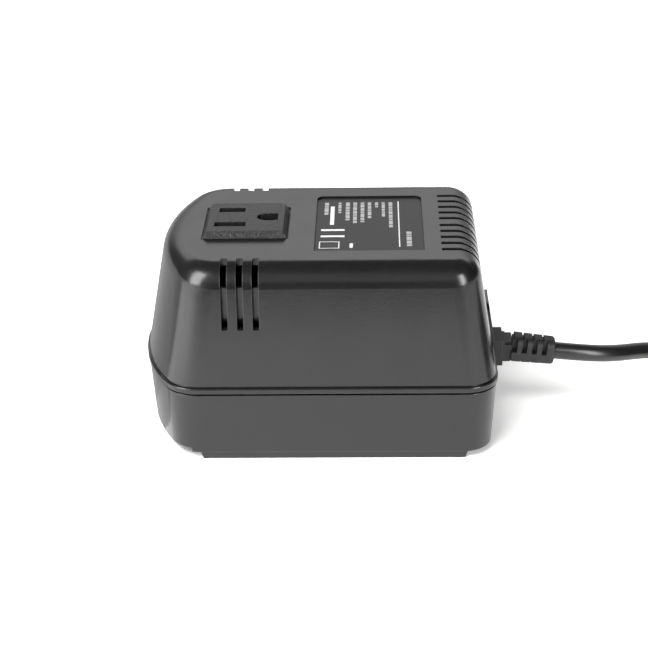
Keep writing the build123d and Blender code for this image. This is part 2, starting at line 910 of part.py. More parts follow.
# Thermal fuse, lying on the taped winding
tape_top = core_middle + leg_half_z + build_up
fuse_z = tape_top + fuse_radius + fuse_rest
fuse_plane = Plane(origin=(core_x, fuse_y, fuse_z), x_dir=(0, 1, 0), z_dir=(1, 0, 0))
with BuildPart() as thermal_fuse:
    with Locations(fuse_plane):
        Cylinder(fuse_radius, fuse_length)
    with Locations(fuse_plane.offset(-fuse_length / 2)):
        Cylinder(
            fuse_wire_radius, fuse_wire_length, align=(Align.CENTER, Align.CENTER, Align.MAX)
        )
thermal_fuse.part.label = "thermal_fuse"
export_step(thermal_fuse.part, "parts/thermal_fuse.step")


def lead(name, points):
    """An insulated wire along straight runs with rounded bends."""
    with BuildPart() as wire:
        with BuildLine() as path:
            FilletPolyline(*points, radius=lead_bend)
        with BuildSketch(Plane(origin=path.wire() @ 0, z_dir=path.wire() % 0)):
            Circle(lead_radius)
        sweep()
    wire.part.label = name
    export_step(wire.part, f"parts/{name}.step")
    return wire.part


lead_y = lead_spacing / 2
winding_exit_z = core_top + (tape_top - core_top) / 2
flange_x = bobbin_low_x + bobbin_length + lead_end_gap
mains_lead_line = lead(
    "mains_lead_line",
    [
        (grip_inner_x, lead_y, grip_z),
        (riser_x, lead_y, grip_z),
        (riser_x, fuse_y, fuse_z),
        (core_x + fuse_length / 2, fuse_y, fuse_z),
    ],
)
mains_lead_neutral = lead(
    "mains_lead_neutral",
    [
        (grip_inner_x, -lead_y, grip_z),
        (riser_x, -lead_y, grip_z),
        (riser_x, -fuse_y, winding_exit_z),
        (flange_x, -fuse_y, winding_exit_z),
    ],
)
tail_foot = insert_bottom - tail_drop
outlet_z = tail_foot - lead_radius
for name, y in (("outlet_lead_line", line_y), ("outlet_lead_neutral", neutral_y)):
    lead(
        name,
        [
            (bobbin_low_x - lead_end_gap, y, winding_exit_z),
            (drop_x, y, winding_exit_z),
            (drop_x, y, outlet_z),
            (blade_x - tail_width / 2, y, outlet_z),
        ],
    )

# Cord grip: moulded on the lead, its neck trapped between tray and cover
grip_axis = Vector(math.cos(math.radians(grip_droop)), 0, -math.sin(math.radians(grip_droop)))
grip_outer_x = grip_flange_x + grip_flange_thickness
rib_start = Vector(grip_outer_x + grip_neck_length, 0, grip_z)
rib_plane = Plane(origin=rib_start, x_dir=(0, 1, 0), z_dir=grip_axis)
rib_length = rib_pitch * rib_count + rib_end_length
with BuildPart() as cord_grip:
    with Locations((grip_inner_x, 0, grip_z)):
        Box(
            grip_outer_x + grip_neck_length - grip_inner_x,
            grip_neck_depth,
            grip_neck_height,
            align=(Align.MIN, Align.CENTER, Align.CENTER),
        )
    with Locations((grip_flange_x, 0, grip_z)):
        Box(
            grip_flange_thickness,
            grip_flange_depth,
            grip_flange_height,
            align=(Align.MIN, Align.CENTER, Align.CENTER),
        )
    with Locations((grip_collar_x, 0, grip_z)):
        Box(
            grip_collar_thickness,
            grip_flange_depth,
            grip_flange_height,
            align=(Align.MIN, Align.CENTER, Align.CENTER),
        )
    # Recesses in the neck's upper sides
    neck_top = grip_z + grip_neck_height / 2
    for side in (-1, 1):
        with Locations((grip_outer_x + grip_neck_length, side * grip_neck_depth / 2, neck_top)):
            Box(
                2 * neck_recess_length,
                2 * neck_recess_depth,
                2 * neck_recess_height,
                mode=Mode.SUBTRACT,
            )
    # Tapered body, then the gaps that make it flex
    with BuildSketch(rib_plane) as rib_root:
        RectangleRounded(rib_depth_first, rib_height_first, rib_corner)
    with BuildSketch(rib_plane.offset(rib_length)) as rib_tip:
        RectangleRounded(rib_depth_last, rib_height_last, rib_corner)
    loft()
    tip_face = cord_grip.faces().sort_by(Axis(tuple(rib_start), tuple(grip_axis)))[-1]
    fillet(tip_face.edges(), rib_end_round)
    for i in range(rib_count):
        for side in (-1, 1):
            with Locations(rib_plane.offset(rib_pitch * i)):
                with Locations((side * rib_spine / 2, rib_window_low, 0)):
                    Box(
                        rib_depth_first,
                        rib_window_high - rib_window_low,
                        rib_window,
                        align=(Align.MIN if side > 0 else Align.MAX, Align.MIN, Align.MIN),
                        mode=Mode.SUBTRACT,
                    )
                with Locations((0, side * (rib_height_first / 2 - rib_notch), 0)):
                    Box(
                        rib_depth_first,
                        rib_height_first,
                        rib_gap,
                        align=(Align.CENTER, Align.MIN if side > 0 else Align.MAX, Align.MIN),
                        mode=Mode.SUBTRACT,
                    )
cord_grip.part.label = "cord_grip"
export_step(cord_grip.part, "parts/cord_grip.step")


def bend_radii(points):
    """The arc at each corner of a route, as large as its two runs allow."""
    radii = []
    for before, here, after in zip(points, points[1:], points[2:]):
        inward = Vector(*here) - Vector(*before)
        outward = Vector(*after) - Vector(*here)
        turn = math.radians(inward.get_angle(outward))
        radii.append(cord_run_share * min(inward.length, outward.length) / math.tan(turn / 2))
    return radii


# Mains lead, from the grip down to the floor
cord_exit = rib_start + grip_axis * rib_length
route = [tuple(cord_exit), tuple(cord_exit + grip_axis * cord_first_run)] + cord_route
radii = bend_radii(route)
print("cord bend radii", [round(radius, 1) for radius in radii])
with BuildPart() as mains_cord:
    with BuildLine() as cord_path:
        FilletPolyline(*route, radius=radii)
    with BuildSketch(Plane(origin=cord_path.wire() @ 0, z_dir=cord_path.wire() % 0)):
        Circle(cord_radius)
    sweep()
mains_cord.part.label = "mains_cord"
export_step(mains_cord.part, "parts/mains_cord.step")
cord_length = cord_path.wire().length
print("mains_cord volume share", round(mains_cord.part.volume / (math.pi * cord_radius**2 * cord_length), 4))

# Coil: one tube that spirals in on the floor, climbs, spirals out, climbs again and turns to the plug
coil_start = Vector(*cord_route[-1])
layer_one = [(coil_radius - coil_pitch / 2 * i, 0) for i in range(coil_half_turns)]
reversal = [(coil_radius - coil_pitch / 2 * coil_half_turns, coil_rise)]
layer_two = [(radius, 0) for radius, rise in reversed(layer_one[1:])]
half_turns = layer_one + reversal + layer_two + [(coil_radius, coil_rise)]
plug_z = coil_start.Z + 2 * coil_rise + cord_radius + plug_rest + plug_thickness / 2 - coil_rise / 2
with BuildPart() as cord_coil:
    with BuildLine() as coil_path:
        here = Vector(coil_x, coil_start.Y, coil_start.Z)
        Line(coil_start, here)
        heading = 1
        for radius, rise in half_turns:
            there = here + Vector(0, -2 * heading * radius, rise)
            middle = (here + there) / 2 + Vector(heading * (there - here).length / 2, 0, 0)
            ThreePointArc(here, middle, there)
            here = there
            heading = -heading
        there = here - Vector(plug_loop_lead, 0, 0)
        Line(here, there)
        here = there
        there = Vector(here.X, here.Y + 2 * plug_loop_radius, plug_z)
        middle = (here + there) / 2 - Vector((there - here).length / 2, 0, 0)
        ThreePointArc(here, middle, there)
        here = there
        there = here + Vector(cord_straight, 0, 0)
        Line(here, there)
        plug_entry = there
    with BuildSketch(Plane(origin=coil_path.wire() @ 0, z_dir=coil_path.wire() % 0)):
        Circle(cord_radius)
    sweep()
cord_coil.part.label = "cord_coil"
export_step(cord_coil.part, "parts/cord_coil.step")
coil_length = coil_path.wire().length
print("cord_coil volume share", round(cord_coil.part.volume / (math.pi * cord_radius**2 * coil_length), 4))
print("free lead length", round(cord_length + coil_length, 1))


def least_gap(wire, diameter, samples):
    """The least space between two stretches of one tube that lie more than a quarter turn apart."""
    points = [wire.position_at(i / samples) for i in range(samples + 1)]
    apart = math.ceil(plug_loop_radius * math.pi / 2 / (wire.length / samples))
    least = min(
        (points[i] - points[j]).length for i in range(samples + 1) for j in range(i + apart, samples + 1)
    )
    return least - diameter


coil_samples = 600
print("cord_coil least gap", round(least_gap(coil_path.wire(), 2 * cord_radius, coil_samples), 2))

# Tie round the four turns on the near side of the coil
columns = [coil_radius - coil_pitch / 2, coil_radius - coil_pitch / 2 * (coil_half_turns - 1)]
tie_x = coil_x - (sum(columns) - tie_slack) / 2
tie_y = coil_start.Y - coil_radius
tie_z = coil_start.Z + coil_rise / 2
tie_inner_width = columns[0] - columns[1] + 2 * (cord_radius + tie_clearance) + tie_slack
tie_inner_height = coil_rise + 2 * (cord_radius + tie_clearance)
tie_corner = cord_radius + tie_clearance
with BuildPart() as cord_tie:
    with BuildSketch(Plane.XZ.offset(-tie_y - tie_width / 2)):
        with Locations((tie_x, tie_z)):
            RectangleRounded(
                tie_inner_width + 2 * tie_thickness,
                tie_inner_height + 2 * tie_thickness,
                tie_corner + tie_thickness,
            )
            RectangleRounded(tie_inner_width, tie_inner_height, tie_corner, mode=Mode.SUBTRACT)
    extrude(amount=tie_width)
cord_tie.part.label = "cord_tie"
export_step(cord_tie.part, "parts/cord_tie.step")

# Plug: flat two-pin body with a ribbed boot, lying on the coil
plug_back = plug_entry.X + plug_boot_length
plug_face = plug_back + plug_length
boot_plane = Plane(
    origin=(plug_entry.X, plug_entry.Y, plug_entry.Z), x_dir=(1, 0, 0), z_dir=(0, -1, 0)
)
with BuildPart() as plug_body:
    with BuildSketch(Plane.XY.offset(plug_z - plug_thickness / 2)) as plug_plan:
        with BuildLine():
            with Locations((0, plug_entry.Y)):
                Polyline(
                    (plug_back, plug_entry.Y - plug_waist / 2),
                    (plug_face - plug_nose_length, plug_entry.Y - plug_width / 2),
                    (plug_face, plug_entry.Y - plug_width / 2 + plug_corner),
                    (plug_face, plug_entry.Y + plug_width / 2 - plug_corner),
                    (plug_face - plug_nose_length, plug_entry.Y + plug_width / 2),
                    (plug_back, plug_entry.Y + plug_waist / 2),
                    close=True,
                )
        make_face()
        fillet(plug_plan.vertices(), plug_corner)
    extrude(amount=plug_thickness)
    fillet(plug_body.faces().filter_by(Axis.Z).edges(), plug_edge)
    with BuildSketch(boot_plane):
        with BuildLine():
            Polyline(
                (0, 0),
                (0, plug_boot_end_radius),
                (plug_boot_length, plug_boot_radius),
                (plug_boot_length + plug_corner, plug_boot_radius),
                (plug_boot_length + plug_corner, 0),
                close=True,
            )
        make_face()
        for i in range(plug_boot_rings):
            ring_x = plug_boot_length * (i + 1) / (plug_boot_rings + 1)
            with Locations((ring_x, plug_boot_radius)):
                Rectangle(plug_boot_groove, 2 * plug_boot_groove * 2, mode=Mode.SUBTRACT)
    revolve(axis=Axis(tuple(plug_entry), (1, 0, 0)))
    for side in (-1, 1):
        with Locations(
            Plane(origin=(plug_face, plug_entry.Y + side * pin_spacing / 2, plug_z), z_dir=(1, 0, 0))
        ):
            Cylinder(
                pin_core_radius,
                pin_root,
                align=(Align.CENTER, Align.CENTER, Align.MAX),
                mode=Mode.SUBTRACT,
            )
plug_body.part.label = "plug_body"
export_step(plug_body.part, "parts/plug_body.step")

# Pins: thin under an insulating sleeve, full width at the tip
pin_planes = [
    Plane(origin=(plug_face, plug_entry.Y + side * pin_spacing / 2, plug_z), z_dir=(1, 0, 0))
    for side in (-1, 1)
]
with BuildPart() as plug_pins:
    with Locations(*[plane.offset(-pin_root) for plane in pin_planes]):
        Cylinder(
            pin_core_radius, pin_root + sleeve_length, align=(Align.CENTER, Align.CENTER, Align.MIN)
        )
    with Locations(*[plane.offset(sleeve_length) for plane in pin_planes]):
        Cylinder(
            pin_radius, pin_length - sleeve_length, align=(Align.CENTER, Align.CENTER, Align.MIN)
        )
    fillet(plug_pins.faces().group_by(Axis.X)[-1].edges(), pin_tip_round)
plug_pins.part.label = "plug_pins"
export_step(plug_pins.part, "parts/plug_pins.step")

with BuildPart() as pin_sleeves:
    with Locations(*pin_planes):
        Cylinder(pin_radius, sleeve_length, align=(Align.CENTER, Align.CENTER, Align.MIN))
        Cylinder(
            pin_core_radius,
            sleeve_length,
            align=(Align.CENTER, Align.CENTER, Align.MIN),
            mode=Mode.SUBTRACT,
        )
pin_sleeves.part.label = "pin_sleeves"
export_step(pin_sleeves.part, "parts/pin_sleeves.step")
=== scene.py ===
# %% [markdown]
# # A travel voltage converter
# The case, outlet, transformer and plug come in as finished solids, in metres, with +X towards the
# lead, +Y to the back and +Z up. This script adds the soft lead, the printed film on the label,
# the finishes, the light and the camera.

# %% Load the solids
import math

import bpy
from mathutils import Matrix, Vector


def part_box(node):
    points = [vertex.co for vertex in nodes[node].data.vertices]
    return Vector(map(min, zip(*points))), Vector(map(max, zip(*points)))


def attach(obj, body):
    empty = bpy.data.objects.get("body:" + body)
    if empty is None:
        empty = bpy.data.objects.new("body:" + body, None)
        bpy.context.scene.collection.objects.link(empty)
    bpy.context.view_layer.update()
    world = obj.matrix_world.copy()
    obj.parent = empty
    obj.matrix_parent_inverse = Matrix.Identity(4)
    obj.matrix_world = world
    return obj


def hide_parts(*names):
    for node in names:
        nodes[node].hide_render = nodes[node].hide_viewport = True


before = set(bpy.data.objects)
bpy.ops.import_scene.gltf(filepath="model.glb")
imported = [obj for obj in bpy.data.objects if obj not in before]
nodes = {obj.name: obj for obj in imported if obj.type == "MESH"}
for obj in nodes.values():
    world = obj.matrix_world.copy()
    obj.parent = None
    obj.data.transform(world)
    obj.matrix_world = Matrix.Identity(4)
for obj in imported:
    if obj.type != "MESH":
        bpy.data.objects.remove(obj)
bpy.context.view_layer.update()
mm = 0.001

# %% [markdown]
# ## Camera
# The camera that fits the photograph stands about 0.63 metres away and looks down at about 26
# degrees, with a long lens and a slight tilt to one side. It could be placed by eye, but the two
# blade slots have a standard spacing, so its place was worked out from them and from the case's
# edges. The picture doesn't settle how far the long walls lean, and 4 degrees were assumed.

# %% Camera
lens_length = 97.44
look_down = math.radians(25.735)
look_aside = math.radians(-1.86)
tilt = math.radians(1.159)
camera_place = Vector((19.363, -553.52, 297.998)) * mm

camera_data = bpy.data.cameras.new("camera")
camera_data.lens = lens_length
camera_data.sensor_width = 36.0
camera_data.clip_start = 10 * mm
camera_data.clip_end = 50.0
camera = bpy.data.objects.new("camera", camera_data)
bpy.context.collection.objects.link(camera)
camera.matrix_world = (
    Matrix.Translation(camera_place)
    @ Matrix.Rotation(-look_aside, 4, "Z")
    @ Matrix.Rotation(math.pi / 2 - look_down, 4, "X")
    @ Matrix.Rotation(-tilt, 4, "Z")
)
bpy.context.scene.camera = camera
print("camera is", round(camera_place.length, 3), "m from the middle of the case's footprint")

# %% [markdown]
# ## Mains lead
# A mains lead is a fixed length of round cable, stiff enough to leave its grip straight and then
# sink to the table in an easy curve. It could be a chain of bones or a simulated rope. A single
# NURBS spline is enough: its points are corners that the lead runs close to, and the spline rounds
# them off by itself. Most of the lead isn't in the picture. That part is wound up neatly a little
# way out from the case, as more points of the same spline.

# %% Points of the free stretch
grip_droop = math.radians(6.4)
along_grip = Vector((math.cos(grip_droop), 0, -math.sin(grip_droop)))
grip_start = Vector((66.95, 0, 22.0))
grip_length = 15.2
first_run = 12.0
lead_exit = grip_start + along_grip * grip_length
route = [lead_exit, lead_exit + along_grip * first_run] + [
    Vector(p)
    for p in [
        (104.5, 4.5, 16.6),
        (116.0, 14.0, 13.2),
        (130.5, 22.0, 8.8),
        (144.0, 26.5, 5.5),
        (157.0, 28.0, 3.5),
        (166.0, 28.0, 3.5),
    ]
]
print("the lead leaves its grip at", [round(x, 2) for x in lead_exit])

# %% [markdown]
# ## Coil
# Each half turn of the coil is a half circle, a little smaller or larger than the one before, so
# the turns lie side by side. Four half turns spiral in on the table, one climbs on to them, three
# spiral out again and the last climbs once more. A tighter loop then brings the end back over the
# coil. A helix would be simpler, but a hand-wound lead lies flat.

# %% Points of the coil
coil_x = 172.0
turn_radius = 36.0
turn_step = 3.25
layer_rise = 6.45
points_per_half_turn = 14
loop_radius = 24.0
loop_lead = 12.0
end_run = 6.0
plug_z = 23.65


def half_turn(start, end, heading, count):
    """Points of a half circle from start to end, bulging towards heading along X."""
    middle = (start + end) / 2
    reach = Vector((heading * (end - start).length / 2, 0, 0))
    outward = 1 / math.cos(math.pi / (2 * count))
    turned = [math.pi * (i + 1 / 2) / count for i in range(count)]
    return [middle + ((start - middle) * math.cos(a) + reach * math.sin(a)) * outward for a in turned]


spiral_in = [(turn_radius - turn_step * i, 0) for i in range(4)]
climb_on = [(turn_radius - turn_step * 4, layer_rise)]
spiral_out = [(turn_radius - turn_step * i, 0) for i in (3, 2, 1)]
climb_off = [(turn_radius, layer_rise)]
end = Vector((coil_x, route[-1].y, route[-1].z))
coil = [end]
heading = 1
for radius, rise in spiral_in + climb_on + spiral_out + climb_off:
    start = end
    end = start + Vector((0, -2 * heading * radius, rise))
    coil += half_turn(start, end, heading, points_per_half_turn)
    heading = -heading
coil.append(end)
loop_start = end - Vector((loop_lead, 0, 0))
loop_end = Vector((loop_start.x, loop_start.y + 2 * loop_radius, plug_z))
coil.append(loop_start)
coil += half_turn(loop_start, loop_end, -1, points_per_half_turn)
coil += [loop_end, loop_end + Vector((end_run, 0, 0))]
print("points of the coil", len(coil), "ending at", [round(x, 2) for x in coil[-1]])

# %% The lead itself
lead_radius = 3.0
lead_curve = bpy.data.curves.new("mains_lead", "CURVE")
lead_curve.dimensions = "3D"
lead_curve.bevel_depth = 1.0
lead_curve.bevel_resolution = 6
lead_curve.use_fill_caps = True
spline = lead_curve.splines.new("NURBS")
lead_points = route + coil
spline.points.add(len(lead_points) - 1)
for point, place in zip(spline.points, lead_points):
    point.co = (*(place * mm), 1.0)
    point.radius = lead_radius * mm
spline.order_u = 3
spline.use_endpoint_u = True
spline.resolution_u = 6
mains_lead = bpy.data.objects.new("mains_lead", lead_curve)
bpy.context.collection.objects.link(mains_lead)
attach(mains_lead, "root")
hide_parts("mains_cord", "cord_coil")
print("lead points", len(lead_points))

# %% [markdown]
# ## A helper for materials
# Every finish here is made of shader nodes that read the piece's own coordinates, in metres, so
# the grain stays on the surface when the view changes. Painted image textures could show the same,
# but they would need an unwrapped surface and would blur close up.


# %% Material helpers
def material(name, colour, roughness, metallic=0.0):
    """A new material with one Principled shader, and that shader."""
    made = bpy.data.materials.new(name)
    made.use_nodes = True
    shader = made.node_tree.nodes["Principled BSDF"]
    shader.inputs["Base Color"].default_value = (*colour, 1.0)
    shader.inputs["Roughness"].default_value = roughness
    shader.inputs["Metallic"].default_value = metallic
    return made, shader


def add(made, kind, **values):
    """A new node in a material or in the world, with its settings."""
    node = made.node_tree.nodes.new(kind)
    for key, value in values.items():
        setattr(node, key, value)
    return node


def place_on_piece(made):
    """The socket that gives a point's place on the piece, in metres."""
    return add(made, "ShaderNodeTexCoord").outputs["Object"]


def noise(made, size, detail=2.0, roughness=0.5):
    """A noise whose blotches are about size millimetres wide."""
    node = add(made, "ShaderNodeTexNoise")
    node.inputs["Scale"].default_value = 1 / (size * mm)
    node.inputs["Detail"].default_value = detail
    node.inputs["Roughness"].default_value = roughness
    made.node_tree.links.new(place_on_piece(made), node.inputs["Vector"])
    return node.outputs["Fac"]


def scale_range(made, value, low, high):
    """Value from 0 to 1 turned into low to high."""
    node = add(made, "ShaderNodeMapRange")
    node.inputs["To Min"].default_value = low
    node.inputs["To Max"].default_value = high
    made.node_tree.links.new(value, node.inputs["Value"])
    return node.outputs["Result"]


def smooth_step(made, value, low, high, at_low, at_high):
    """A smooth step, from at_low to at_high as value goes from low to high."""
    node = add(made, "ShaderNodeMapRange", interpolation_type="SMOOTHSTEP")
    numbers = {"From Min": low, "From Max": high, "To Min": at_low, "To Max": at_high}
    for socket, number in numbers.items():
        node.inputs[socket].default_value = number
    made.node_tree.links.new(value, node.inputs["Value"])
    return node.outputs["Result"]


def combine(made, operation, first, second):
    """Two values added or multiplied."""
    node = add(made, "ShaderNodeMath", operation=operation)
    made.node_tree.links.new(first, node.inputs[0])
    made.node_tree.links.new(second, node.inputs[1])
    return node.outputs["Value"]


def shade(colour, factor):
    """A colour made darker or lighter, each part 1 at most."""
    return tuple(min(1, c * factor) for c in colour)


def mix_colours(made, share, first, second):
    """First colour turning into second as share goes from 0 to 1."""
    node = add(made, "ShaderNodeMix", data_type="RGBA")
    made.node_tree.links.new(share, node.inputs["Factor"])
    for socket, colour in (("A", first), ("B", second)):
        plug_in = [s for s in node.inputs if s.name == socket and s.type == "RGBA"][0]
        if isinstance(colour, tuple):
            plug_in.default_value = (*colour, 1.0)
        else:
            made.node_tree.links.new(colour, plug_in)
    return [s for s in node.outputs if s.type == "RGBA"][0]


# The plain and the rounded normal's product, where an edge starts to show and where it is full
flat_ground, sharp_edge = 0.99, 0.75


def edge_share(made, radius):
    """0 on flat ground and up to 1 on an edge sharper than radius millimetres, and its normal."""
    rounded = add(made, "ShaderNodeBevel", samples=6)
    rounded.inputs["Radius"].default_value = radius * mm
    plain = add(made, "ShaderNodeNewGeometry")
    dot = add(made, "ShaderNodeVectorMath", operation="DOT_PRODUCT")
    made.node_tree.links.new(rounded.outputs["Normal"], dot.inputs[0])
    made.node_tree.links.new(plain.outputs["Normal"], dot.inputs[1])
    away = add(made, "ShaderNodeMapRange")
    away.inputs["From Min"].default_value = flat_ground
    away.inputs["From Max"].default_value = sharp_edge
    made.node_tree.links.new(dot.outputs["Value"], away.inputs["Value"])
    return away.outputs["Result"], rounded.outputs["Normal"]


def bump(made, shader, height, strength, depth, normal=None):
    """Raises the surface by height, depth millimetres at most."""
    node = add(made, "ShaderNodeBump")
    node.inputs["Strength"].default_value = strength
    node.inputs["Distance"].default_value = depth * mm
    made.node_tree.links.new(height, node.inputs["Height"])
    if normal is not None:
        made.node_tree.links.new(normal, node.inputs["Normal"])
    made.node_tree.links.new(node.outputs["Normal"], shader.inputs["Normal"])


def paint(name, made):
    """Gives a solid its material."""
    mesh = nodes[name].data
    mesh.materials.clear()
    mesh.materials.append(made)


# %% [markdown]
# ## Moulded case plastic
# The case is finished as moulded plastic: nearly black, with a fine even grain that breaks up the
# shine, and a paler colour painted along its edges as a highlight, where rounded edges catch the
# light. The grain could be modelled, but at under a millimetre it is a job for bump. One function
# makes the case's shallow grain and the outlet's deeper one, because only the numbers differ.

# %% Grained plastic
# The grey painted along edges as a highlight, and the most of it that an edge takes
painted_highlight_grey = (0.09, 0.09, 0.09)
painted_highlight_share = 0.55
mottle_dark, mottle_light = 0.82, 1.18
grains_per_mottle = 2.2
shine_patch = 14.0
shine_swing = 0.05
grain_strength = 0.7


def grained_plastic(name, colour, roughness, grain, depth, edge):
    """Moulded plastic with a grain of a given width and depth, and a painted highlight on edges, in
    millimetres.
    """
    made, shader = material(name, colour, roughness)
    mottle = noise(made, grain * grains_per_mottle, detail=1.0)
    mottled = mix_colours(made, mottle, shade(colour, mottle_dark), shade(colour, mottle_light))
    # Edges get a painted highlight: the paler grey is mixed in where the rounded normal turns away
    painted_highlight, rounded = edge_share(made, edge)
    base = mix_colours(made, scale_range(made, painted_highlight, 0.0, painted_highlight_share), mottled, painted_highlight_grey)
    made.node_tree.links.new(base, shader.inputs["Base Color"])
    shine = scale_range(
        made, noise(made, shine_patch), roughness - shine_swing, roughness + shine_swing
    )
    made.node_tree.links.new(shine, shader.inputs["Roughness"])
    shader.inputs["Specular IOR Level"].default_value = 0.5
    height = noise(made, grain, detail=2.0, roughness=0.6)
    bump(made, shader, height, grain_strength, depth, rounded)
    return made


case_plastic = grained_plastic("case_plastic", (0.009, 0.009, 0.0095), 0.23, 0.9, 0.025, 0.35)
face_plastic = grained_plastic("face_plastic", (0.012, 0.012, 0.0125), 0.34, 0.8, 0.42, 0.25)
for name in ("top_cover", "base_tray"):
    paint(name, case_plastic)
for name in ("socket_face", "socket_body", "socket_rear_plate"):
    paint(name, face_plastic)
print("materials so far", len(bpy.data.materials))

# %% [markdown]
# ## Lead, grip and plug
# The lead's jacket is smooth soft PVC, nearly black, with a long soft streak of light along it. The
# grip and plug are moulded from the same material with a duller skin.


# %% Smooth plastic
tone_patch = 6.0
tone_dark, tone_light = 0.8, 1.25
gloss_patch = 9.0
gloss_below, gloss_above = 0.04, 0.05
soft_edge = 0.25
ripple_strength = 0.3


def smooth_plastic(name, colour, roughness, ripple, depth):
    """Plastic with faint ripples of a given width and depth in millimetres."""
    made, shader = material(name, colour, roughness)
    patches = noise(made, tone_patch)
    tone = mix_colours(made, patches, shade(colour, tone_dark), shade(colour, tone_light))
    made.node_tree.links.new(tone, shader.inputs["Base Color"])
    shine = scale_range(
        made, noise(made, gloss_patch), roughness - gloss_below, roughness + gloss_above
    )
    made.node_tree.links.new(shine, shader.inputs["Roughness"])
    rounded = edge_share(made, soft_edge)[1]
    bump(made, shader, noise(made, ripple), ripple_strength, depth, rounded)
    return made


jacket = smooth_plastic("lead_jacket", (0.011, 0.011, 0.0115), 0.3, 1.6, 0.03)
moulding = smooth_plastic("lead_moulding", (0.012, 0.012, 0.0125), 0.55, 0.6, 0.04)
tie_strip = smooth_plastic("tie_strip", (0.016, 0.016, 0.016), 0.4, 1.0, 0.03)
sleeve_skin = smooth_plastic("sleeve_skin", (0.02, 0.02, 0.02), 0.35, 0.8, 0.01)
mains_lead.data.materials.append(jacket)
for name, made in (
    ("cord_grip", moulding),
    ("plug_body", moulding),
    ("cord_tie", tie_strip),
    ("pin_sleeves", sleeve_skin),
):
    paint(name, made)
print("materials so far", len(bpy.data.materials))

# %% [markdown]
# ## Metals
# Screws and washers are zinc plated, contacts are rolled brass strip, pins are nickel plated and the
# core is a stack of thin steel sheets. Each is one Principled shader with full metal. What tells
# them apart is the drawing or rolling marks, so these are stretched noises.


# %% Metal
mark_dark, mark_light = 0.75, 1.2
mark_below, mark_above = 0.08, 0.1
mark_strength = 0.3
mark_depth = 0.02
metal_edge = 0.15


def metal(name, colour, roughness, stretch, size):
    """Metal with marks of a given size in millimetres, drawn out along the axes under 1."""
    made, shader = material(name, colour, roughness, metallic=1.0)
    stretched = add(made, "ShaderNodeMapping")
    stretched.inputs["Scale"].default_value = stretch
    made.node_tree.links.new(place_on_piece(made), stretched.inputs["Vector"])
    marks = add(made, "ShaderNodeTexNoise")
    marks.inputs["Scale"].default_value = 1 / (size * mm)
    made.node_tree.links.new(stretched.outputs["Vector"], marks.inputs["Vector"])
    fac = marks.outputs["Fac"]
    tone = mix_colours(made, fac, shade(colour, mark_dark), shade(colour, mark_light))
    made.node_tree.links.new(tone, shader.inputs["Base Color"])
    shine = scale_range(made, fac, roughness - mark_below, roughness + mark_above)
    made.node_tree.links.new(shine, shader.inputs["Roughness"])
    bump(made, shader, fac, mark_strength, mark_depth, edge_share(made, metal_edge)[1])
    return made


zinc = metal("zinc_plate", (0.55, 0.56, 0.57), 0.35, (1, 1, 1), 0.8)
brass = metal("brass_strip", (0.72, 0.5, 0.2), 0.3, (1, 1, 0.1), 0.5)
nickel = metal("nickel_plate", (0.7, 0.68, 0.64), 0.2, (0.1, 1, 1), 0.4)
sheets = metal("core_sheets", (0.16, 0.16, 0.17), 0.45, (0.04, 0.04, 1), 0.5)
can = metal("fuse_can", (0.72, 0.72, 0.73), 0.3, (1, 0.2, 1), 0.4)
for names, made in (
    (("case_screws", "core_bolts", "core_washers"), zinc),
    (("socket_contact_line", "socket_contact_neutral", "socket_contact_ground"), brass),
    (("plug_pins",), nickel),
    (("core_e_stack", "core_i_stack"), sheets),
    (("thermal_fuse",), can),
):
    for name in names:
        paint(name, made)

# %% [markdown]
# ## Transformer finishes
# The windings show turn beside turn of lacquered copper wire, the tape is yellow polyester film and
# the bobbin is pale nylon. Hundreds of real turns would cost far more than they show through the
# vents, so a band pattern across the wire stands in for them, with painted shade in the grooves
# between turns and a painted highlight along each turn.


# %% Wound wire, tape and nylon
band_waver = 0.4
band_strength, band_depth = 0.6, 0.15


def banded(name, dark, light, roughness, band):
    """Bands across X, each about band millimetres wide."""
    made, shader = material(name, light, roughness)
    wave = add(made, "ShaderNodeTexWave", bands_direction="X")
    wave.inputs["Scale"].default_value = 1 / (band * mm) / (2 * math.pi)
    wave.inputs["Distortion"].default_value = band_waver
    made.node_tree.links.new(place_on_piece(made), wave.inputs["Vector"])
    tone = mix_colours(made, wave.outputs["Fac"], dark, light)
    made.node_tree.links.new(tone, shader.inputs["Base Color"])
    bump(made, shader, wave.outputs["Fac"], band_strength, band_depth)
    return made


# The wire's darker copper is painted shade between turns, its paler copper a painted highlight on
# each turn
copper_wire = banded("lacquered_wire", (0.2, 0.05, 0.02), (0.5, 0.16, 0.06), 0.25, 0.8)
film_tape = banded("film_tape", (0.55, 0.38, 0.06), (0.72, 0.52, 0.1), 0.2, 12.0)
nylon = smooth_plastic("nylon", (0.62, 0.58, 0.48), 0.45, 1.0, 0.03)
brown_skin = smooth_plastic("brown_skin", (0.13, 0.055, 0.025), 0.4, 0.8, 0.02)
blue_skin = smooth_plastic("blue_skin", (0.04, 0.12, 0.42), 0.4, 0.8, 0.02)
for names, made in (
    (("common_winding", "series_winding"), copper_wire),
    (("winding_tape",), film_tape),
    (("bobbin",), nylon),
    (("mains_lead_line", "outlet_lead_line"), brown_skin),
    (("mains_lead_neutral", "outlet_lead_neutral"), blue_skin),
):
    for name in names:
        paint(name, made)

# %% [markdown]
# ## Rating label
# The label is a dark satin film in a recess, with pale marks on it that say nothing: rows of short
# dashes, a few solid bars, one long rule and an outlined rectangle. They stand a fiftieth of a
# millimetre above the film, so they are pieces of their own.

